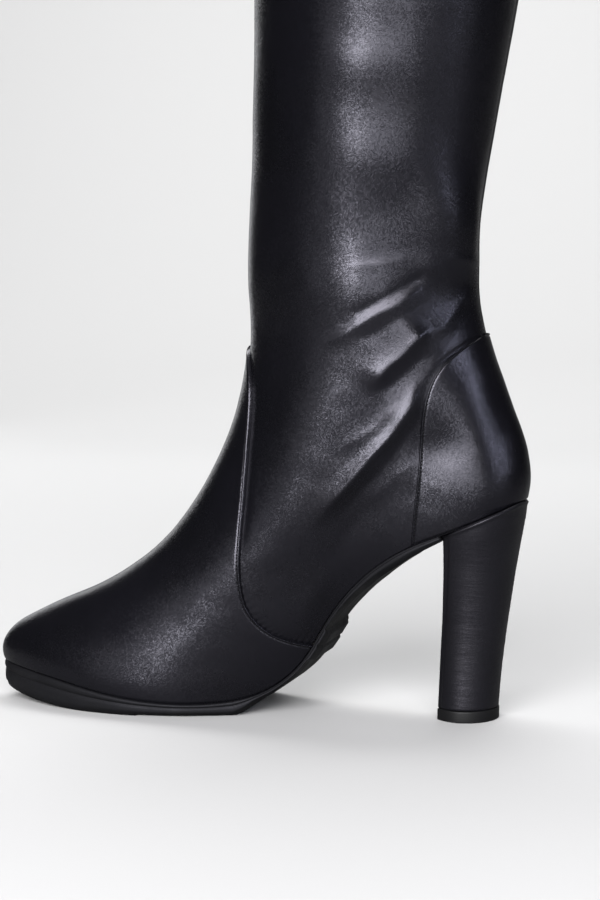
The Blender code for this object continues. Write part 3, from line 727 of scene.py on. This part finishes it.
# The edge stands fully proud of the upper from the joint forward, and not at all at the shank
SHANK_X, JOINT_X = 30.0, 70.0
BOTTOM_BEVEL = 1.6
ACROSS_TOP, ACROSS_BOTTOM = 5, 27
ROWS_EACH_PART = 190
WAIST_END_X = 64.0
TREAD_START_X, TREAD_END_X, TREAD_MARGIN = 102.0, 188.0, 5.0
RIB_PITCH, RIB_DEPTH, RIB_BOW = 4.2, 0.8, 0.012


def sole_underside(x):
    """The point of the outsole's underside, in the x-z plane, below a point of its top."""
    top_z = float(feather_z(min(x, FEATHER_X[-1]))) - SOLE_GAP
    if x >= STANCE_START_X:
        rise = max(0.0, (x - STANCE_END_X) / (FEATHER_X[-1] - STANCE_END_X))
        return x, TOE_SPRING * rise ** 2
    slope = float(feather_z(x + 0.5) - feather_z(x - 0.5))
    length = math.hypot(1.0, slope)
    thickness = float(np.interp(x, SOLE_X, SOLE_THICKNESS))
    blend = max(0.0, (x - ARCH_BLEND_X) / (STANCE_START_X - ARCH_BLEND_X))
    return x + thickness * slope / length, max(0.0, (top_z - thickness / length) * (1.0 - blend ** 2))


def make_sole_rubber():
    """Satin black rubber: a fine moulded texture with cloudy, dull scuffs."""
    material, tree, shader = new_material("sole_rubber")
    scuffs = add_node(tree, "Group", {"Clouds": 60.0, "Contrast": 1.2}, node_tree=hand_sheen)
    texture = add_node(tree, "Group", {"Grains": 3200.0, "Depth": 0.00002}, node_tree=calf_grain)
    colour_and_gloss(tree, shader, scuffs.outputs["Shine"], (0.004, 0.004, 0.0045), (0.007, 0.007, 0.0078),
                     0.62, 0.45)
    set_inputs(tree, shader, {"Specular IOR Level": 0.16, "Specular Tint": (0.88, 0.88, 1.0, 1.0),
                              "Normal": texture.outputs["Normal"]})
    return material


def feather_angle(x):
    """The angle at which the feather line, seen from the side, reaches x."""
    return math.acos(1.0 - 2.0 * (x - FEATHER_X[0]) / (FEATHER_X[-1] - FEATHER_X[0]))


def sole_side(angle, proud, drop, side_bottom):
    """Points down one side of the sole, from the feather line to where its bottom edge is rounded."""
    edge = last_point(0.0, angle)
    flat = outward_way(0.0, angle) * (1.0, 1.0, 0.0)
    flat = flat / np.linalg.norm(flat)
    top_z = float(feather_z(float(edge[0]))) - SOLE_GAP
    points = []
    for share, stand in SIDE_PROFILE:
        down = share * side_bottom
        x, y, _ = edge + flat * (proud + stand * min(1.0, 0.4 + proud))
        points.append((x + drop[0] * down, y, top_z + drop[1] * down))
    return points


def sole_bottom(inner, outer, x):
    """Points across the tread from inner to outer side, with ribs under the forefoot."""
    points = []
    for share in np.linspace(0.0, 1.0, ACROSS_BOTTOM):
        point = inner * (1.0 - share) + outer * share
        from_side = min(share, 1.0 - share) * (inner[1] - outer[1])
        if TREAD_START_X < x < TREAD_END_X and from_side > TREAD_MARGIN:
            wave = 0.5 + 0.5 * math.cos(2.0 * math.pi * (x + RIB_BOW * point[1] ** 2) / RIB_PITCH)
            point = point + np.array((0.0, 0.0, RIB_DEPTH * min(1.0, max(0.0, wave * 2.4 - 1.3))))
        points.append(tuple(point))
    return points


sole_rows = []
waist_end = feather_angle(WAIST_END_X)
sole_angles = np.concatenate((np.linspace(feather_angle(SOLE_START_X), waist_end, ROWS_EACH_PART),
                              np.linspace(waist_end, math.pi - 0.03, ROWS_EACH_PART)[1:]))
for angle in sole_angles:
    x, inner_y, _ = last_point(0.0, angle).tolist()
    outer_y = float(last_point(0.0, -angle)[1])
    under_x, under_z = sole_underside(x)
    top_z = float(feather_z(x)) - SOLE_GAP
    drop = (under_x - x, under_z - top_z)
    proud = min(1.0, max(0.0, (x - SHANK_X) / (JOINT_X - SHANK_X)))
    inset = min(float(np.interp(x, EDGE_INSET_X, EDGE_INSET)), (inner_y - outer_y) / 4.0)
    side_bottom = 1.0 - min(0.45, BOTTOM_BEVEL / max(0.5, top_z - under_z))
    inner_side = sole_side(angle, proud, drop, side_bottom)
    outer_side = sole_side(-angle, proud, drop, side_bottom)
    top = [tuple(np.array(outer_side[0]) * (1.0 - s) + np.array(inner_side[0]) * s)
           for s in np.linspace(0.12, 0.88, ACROSS_TOP)]
    low_x = under_x + inner_side[-1][0] - (x + drop[0] * side_bottom)
    low_inner = np.array((low_x, inner_side[-1][1] - inset, under_z))
    low_outer = np.array((low_x, outer_side[-1][1] + inset, under_z))
    sole_rows.append(top + inner_side + sole_bottom(low_inner, low_outer, x) + outer_side[::-1])
sole_points = np.array(sole_rows)
make_piece("rubber_outsole", sole_points, solid_faces(*sole_points.shape[:2]),
           make_sole_rubber(), "sole_rubber", "outsole")


# Heel. A tall block wrapped in the boot's own calf. The skin is pulled round from the back and
# folded in at the breast, with fine creases across it, and rolled over at the top edge.
LIFT_HEIGHT = 5.0
LIFT_GAP = 0.12
# Sections from the seat down: share of the height, back_x, breast_x, breast_half, side_half
HEEL_SECTIONS = (
    (0.00, -28.3, 4.4, 20.5, 25.2),
    (0.06, -27.8, 4.5, 19.4, 24.4),
    (0.16, -26.2, 4.7, 17.6, 22.4),
    (0.30, -23.9, 5.2, 15.4, 20.2),
    (0.48, -21.4, 5.9, 13.0, 18.2),
    (0.68, -19.0, 6.9, 11.4, 16.9),
    (0.86, -17.3, 7.6, 10.8, 16.5),
    (1.00, -16.4, 8.1, 10.6, 16.5),
)
HEEL_MIDDLE_SHARE = 0.42
HEEL_CORNER_SHARE = 0.6
HEEL_AROUND, BREAST_ACROSS = 150, 24
BREAST_TOP_X = 4.4
# Points of the outline at which the wrap ends in a fold, one beside each corner of the breast
BREAST_FOLDS = (2, HEEL_AROUND - 3)
# Shares of the height at which the rows lie, close together at the rolled ends
HEEL_ROWS = np.concatenate(((0.0, 0.004, 0.010, 0.016, 0.022, 0.03), np.linspace(0.04, 0.985, 130),
                            (0.992, 0.997, 1.0)))
heel_section = natural_spline([row[0] for row in HEEL_SECTIONS], [row[1:] for row in HEEL_SECTIONS])


def heel_outline(back_x, breast_x, breast_half, side_half):
    """A D-shaped section of the heel, a flat breast and a rounded back, as x and y."""
    corner = math.acos(min(1.0, breast_half / side_half)) * HEEL_CORNER_SHARE
    middle_x = breast_x - (breast_x - back_x) * HEEL_MIDDLE_SHARE
    turn = np.linspace(-corner, math.pi + corner, HEEL_AROUND)
    across, backward = np.cos(turn), np.sin(turn)
    share = np.clip(-backward / math.sin(corner), 0.0, 1.0)
    behind = backward >= 0.0
    x = np.where(behind, middle_x - (middle_x - back_x) * backward, middle_x + (breast_x - middle_x) * share)
    corner_y = np.copysign(side_half + (breast_half - side_half) * share ** 2, across)
    y = np.where(behind, side_half * across, corner_y)
    breast_y = np.linspace(y[-1], y[0], BREAST_ACROSS + 2)[1:-1]
    return np.concatenate((x, np.full(BREAST_ACROSS, x[0]))), np.concatenate((y, breast_y))


def outline_normals(x, y):
    """The way out of a closed outline, in plan."""
    ahead_x, ahead_y = np.roll(x, -2) - np.roll(x, 2), np.roll(y, -2) - np.roll(y, 2)
    length = np.hypot(ahead_x, ahead_y)
    return ahead_y / length, -ahead_x / length


def pull_creases(x, y, z):
    """The unevenness of skin pulled round the block: fine creases across it and slower waves."""
    return (noise.noise(Vector((x / 9.0, y / 9.0, z / 0.9))) * 0.035
            + noise.noise(Vector((x / 14.0 + 5.0, y / 14.0, z / 3.2))) * 0.06)


heel_rows = []
block_foot = LIFT_HEIGHT + LIFT_GAP
for drop in HEEL_ROWS:
    x, y = heel_outline(*heel_section(drop))
    out_x, out_y = outline_normals(x, y)
    seat = feather_z(np.clip(np.minimum(x, BREAST_TOP_X), FEATHER_X[0], None)) - SOLE_GAP
    z = seat + (block_foot - seat) * drop
    from_top = seat - z
    roll = 0.45 * np.exp(-((from_top - 0.9) / 0.7) ** 2) - 0.5 * np.exp(-(from_top / 0.35) ** 2)
    low_edge = 0.45 * np.exp(-((z - block_foot) / 0.35) ** 2)
    fold_away = [np.hypot(x - x[fold], y - y[fold]) for fold in BREAST_FOLDS]
    stand = roll - low_edge - 0.35 * np.exp(-(np.minimum(*fold_away) / 0.55) ** 2)
    heel_rows.append(np.stack((x + out_x * stand, y + out_y * stand, z), axis=1))
heel_points = np.array(heel_rows)
flat = (heel_points - heel_points.mean(axis=1, keepdims=True)) * (1.0, 1.0, 0.0)
flat /= np.linalg.norm(flat, axis=-1, keepdims=True)
creases = np.array([pull_creases(*point) for point in heel_points.reshape(-1, 3).tolist()])
heel_points = heel_points + flat * creases.reshape(heel_points.shape[:2])[..., None]


def drawn_out_lines(tree, along, up, detail, strength, depth, **settings):
    """Noise drawn out sideways into fine level lines, and a bump made of it."""
    place = add_node(tree, "TexCoord").outputs["Object"]
    drawn_out = add_node(tree, "Mapping", {"Vector": place, "Scale": (along, along, up)}).outputs["Vector"]
    lines = add_node(tree, "TexNoise", {"Vector": drawn_out, "Scale": 1.0, "Detail": detail, **settings})
    bump = add_node(tree, "Bump", {"Strength": strength, "Distance": depth, "Height": lines.outputs["Fac"]})
    return lines.outputs["Fac"], bump.outputs["Normal"]


def make_heel_leather():
    """The same calf stretched over the block: wider grain, and fine creases across the heel."""
    material, tree, shader = new_material("heel_leather")
    _, creased = drawn_out_lines(tree, 160.0, 1500.0, 4.0, 1.0, 0.00016, Roughness=0.6)
    grain = add_node(tree, "Group", {"Grains": 1700.0, "Depth": 0.00004}, node_tree=calf_grain)
    both = vector_node(tree, "ADD", first=creased, second=grain.outputs["Normal"])
    sheen = add_node(tree, "Group", {"Clouds": 45.0, "Contrast": 1.0}, node_tree=hand_sheen)
    colour_and_gloss(tree, shader, sheen.outputs["Shine"], (0.002, 0.002, 0.0027), (0.004, 0.0039, 0.0052),
                     0.52, 0.40)
    set_inputs(tree, shader, {"Specular IOR Level": 0.36, "Specular Tint": (0.90, 0.87, 1.0, 1.0),
                              "Normal": vector_node(tree, "NORMALIZE", first=both)})
    return material


make_piece("wrapped_heel", heel_points, solid_faces(*heel_points.shape[:2]),
           make_heel_leather(), "heel_leather", "heel_block")


# Top lift. The walking piece of hard rubber nailed under the heel, a little wider than the
# block, with a sharp ground edge.
# Heights of its rows from the top down, and how far each stands out from the block
LIFT_ROWS = ((4.98, -0.7), (4.95, 0.0), (4.75, 0.2), (4.3, 0.25), (2.2, 0.25), (0.7, 0.25), (0.25, 0.2),
             (0.0, 0.0), (0.0, -0.7))


def make_lift_rubber():
    """Hard black rubber, ground smooth: fine lines round the edge."""
    material, tree, shader = new_material("lift_rubber")
    lines, ground = drawn_out_lines(tree, 90.0, 2600.0, 3.0, 0.8, 0.00006)
    colour_and_gloss(tree, shader, lines, (0.002, 0.002, 0.0023), (0.005, 0.005, 0.0056), 0.62, 0.46)
    set_inputs(tree, shader, {"Specular IOR Level": 0.25, "Normal": ground})
    return material


x, y = heel_outline(*heel_section(1.0))
out_x, out_y = outline_normals(x, y)
lift_points = np.array([np.stack((x + out_x * stand, y + out_y * stand, np.full(x.shape, height)), axis=1)
                        for height, stand in LIFT_ROWS])
make_piece("rubber_top_lift", lift_points, solid_faces(*lift_points.shape[:2]),
           make_lift_rubber(), "lift_rubber", "top_lift")


# Stage, in metres. A pale floor that curves up into a backdrop, soft studio lights, pale air
# and the camera. The floor is dimmer in reflections, so that it doesn't wash out the leather.
FLOOR_NEAR, FLOOR_FAR, FLOOR_HALF, SWEEP_RADIUS, BACKDROP_TOP = 1.1, -1.6, 4.0, 1.2, 3.2
SWEEP_STEPS = 16
sweep = [(FLOOR_NEAR, 0.0), (FLOOR_FAR, 0.0)]
for step in range(1, SWEEP_STEPS + 1):
    turn = step / SWEEP_STEPS * math.pi / 2.0
    sweep.append((FLOOR_FAR - SWEEP_RADIUS * math.sin(turn), SWEEP_RADIUS * (1.0 - math.cos(turn))))
sweep.append((FLOOR_FAR - SWEEP_RADIUS, BACKDROP_TOP))
floor_points = [(across, away, height) for away, height in sweep for across in (-FLOOR_HALF, FLOOR_HALF)]
floor_mesh = bpy.data.meshes.new("studio_floor")
floor_mesh.from_pydata(floor_points, [], grid_faces(len(sweep), 2, False))
floor_mesh.shade_smooth()
floor_paint, tree, shader = new_material("floor_paint")
# Painted shade in reflections: glossy rays see the floor at 0.10 instead of 0.50, so the leather mirrors a
# darker floor.
in_reflection = add_node(tree, "LightPath").outputs["Is Glossy Ray"]
paint = two_colours(tree, in_reflection, (0.50, 0.50, 0.50), (0.10, 0.10, 0.10))
set_inputs(tree, shader, {"Base Color": paint, "Roughness": 0.8})
floor_mesh.materials.append(floor_paint)
floor = bpy.data.objects.new("studio_floor", floor_mesh)
bpy.context.scene.collection.objects.link(floor)

ANKLE, LEG = (0.035, 0.0, 0.17), (0.035, 0.0, 0.3)
WHITE, COOL = (1.0, 1.0, 1.0), (0.97, 0.98, 1.0)
# Softboxes: name, place, what it points at, width, height, power, colour, sideways lean in degrees
LAMPS = (
    ("key_light", (-0.025, 1.7, 1.018), ANKLE, 1.69, 0.74, 61.0, (1.0, 0.99, 1.0), 0.0),
    ("front_light", (-0.18, 1.282, 0.285), ANKLE, 1.47, 0.37, 9.0, COOL, 0.0),
    ("side_light", (0.808, 1.167, 0.365), ANKLE, 0.67, 0.63, 1.0, COOL, 0.0),
    ("low_light", (-1.091, 0.65, 0.15), ANKLE, 0.95, 0.3, 0.45, (0.95, 0.97, 1.0), 0.0),
    ("spot_light", (0.361, 2.378, 0.55), ANKLE, 0.6, 0.4, 19.0, WHITE, 0.0),
    ("overhead_light", (0.1, 0.1, 2.0), (0.05, 0.0, 0.0), 1.8, 1.8, 5.0, WHITE, 0.0),
    ("strip_light", (-1.116, 0.374, 0.488), ANKLE, 0.4, 0.05, 1.8, (0.80, 0.84, 1.0), 30.0),
    ("outer_side_light", (0.2, -1.7, 1.0), (0.035, 0.0, 0.25), 0.9, 0.6, 3.6, COOL, 0.0),
    ("outer_toe_light", (1.35, -1.5, 0.45), LEG, 0.7, 0.8, 1.7, COOL, 0.0),
    ("backdrop_light", (0.6, -1.25, 2.6), (0.6, -2.0, 0.0), 3.0, 1.0, 96.0, WHITE, 0.0),
)
for name, place, target, width, height, power, colour, lean in LAMPS:
    lamp = bpy.data.lights.new(name, "AREA")
    lamp.shape = "RECTANGLE"
    lamp.size = width
    lamp.size_y = height
    lamp.energy = power
    lamp.color = colour
    softbox = bpy.data.objects.new(name, lamp)
    softbox.location = place
    aim = (Vector(target) - Vector(place)).to_track_quat("-Z", "Y")
    softbox.rotation_euler = (aim @ Quaternion((0.0, 0.0, 1.0), math.radians(lean))).to_euler()
    softbox.visible_camera = False
    bpy.context.scene.collection.objects.link(softbox)

AIR_LIGHT, AIR_SEEN = 0.02, 0.80
world = bpy.data.worlds.new("studio_air")
world.use_nodes = True
air_tree = world.node_tree
seen = add_node(air_tree, "LightPath").outputs["Is Camera Ray"]
strength = value_range(air_tree, seen, AIR_LIGHT, AIR_SEEN)
set_inputs(air_tree, air_tree.nodes["Background"], {"Color": (0.95, 0.97, 1.0, 1.0), "Strength": strength})
bpy.context.scene.world = world
bpy.context.scene.view_settings.view_transform = "Standard"

VIEW_SIDE = math.radians(195.0)
# How far the view drops for each metre forward
LOOK_DOWN = 0.068756
camera_data = bpy.data.cameras.new("camera")
camera_data.sensor_fit = "VERTICAL"
camera_data.sensor_height = 36.0
camera_data.lens = 79.12
camera_data.clip_start = 0.02
camera_data.clip_end = 50.0
camera = bpy.data.objects.new("camera", camera_data)
camera.location = (-0.153, 0.842, 0.1748)
forward = Vector((-math.sin(VIEW_SIDE), math.cos(VIEW_SIDE), -LOOK_DOWN))
camera.rotation_euler = forward.to_track_quat("-Z", "Y").to_euler()
bpy.context.scene.collection.objects.link(camera)
bpy.context.scene.camera = camera
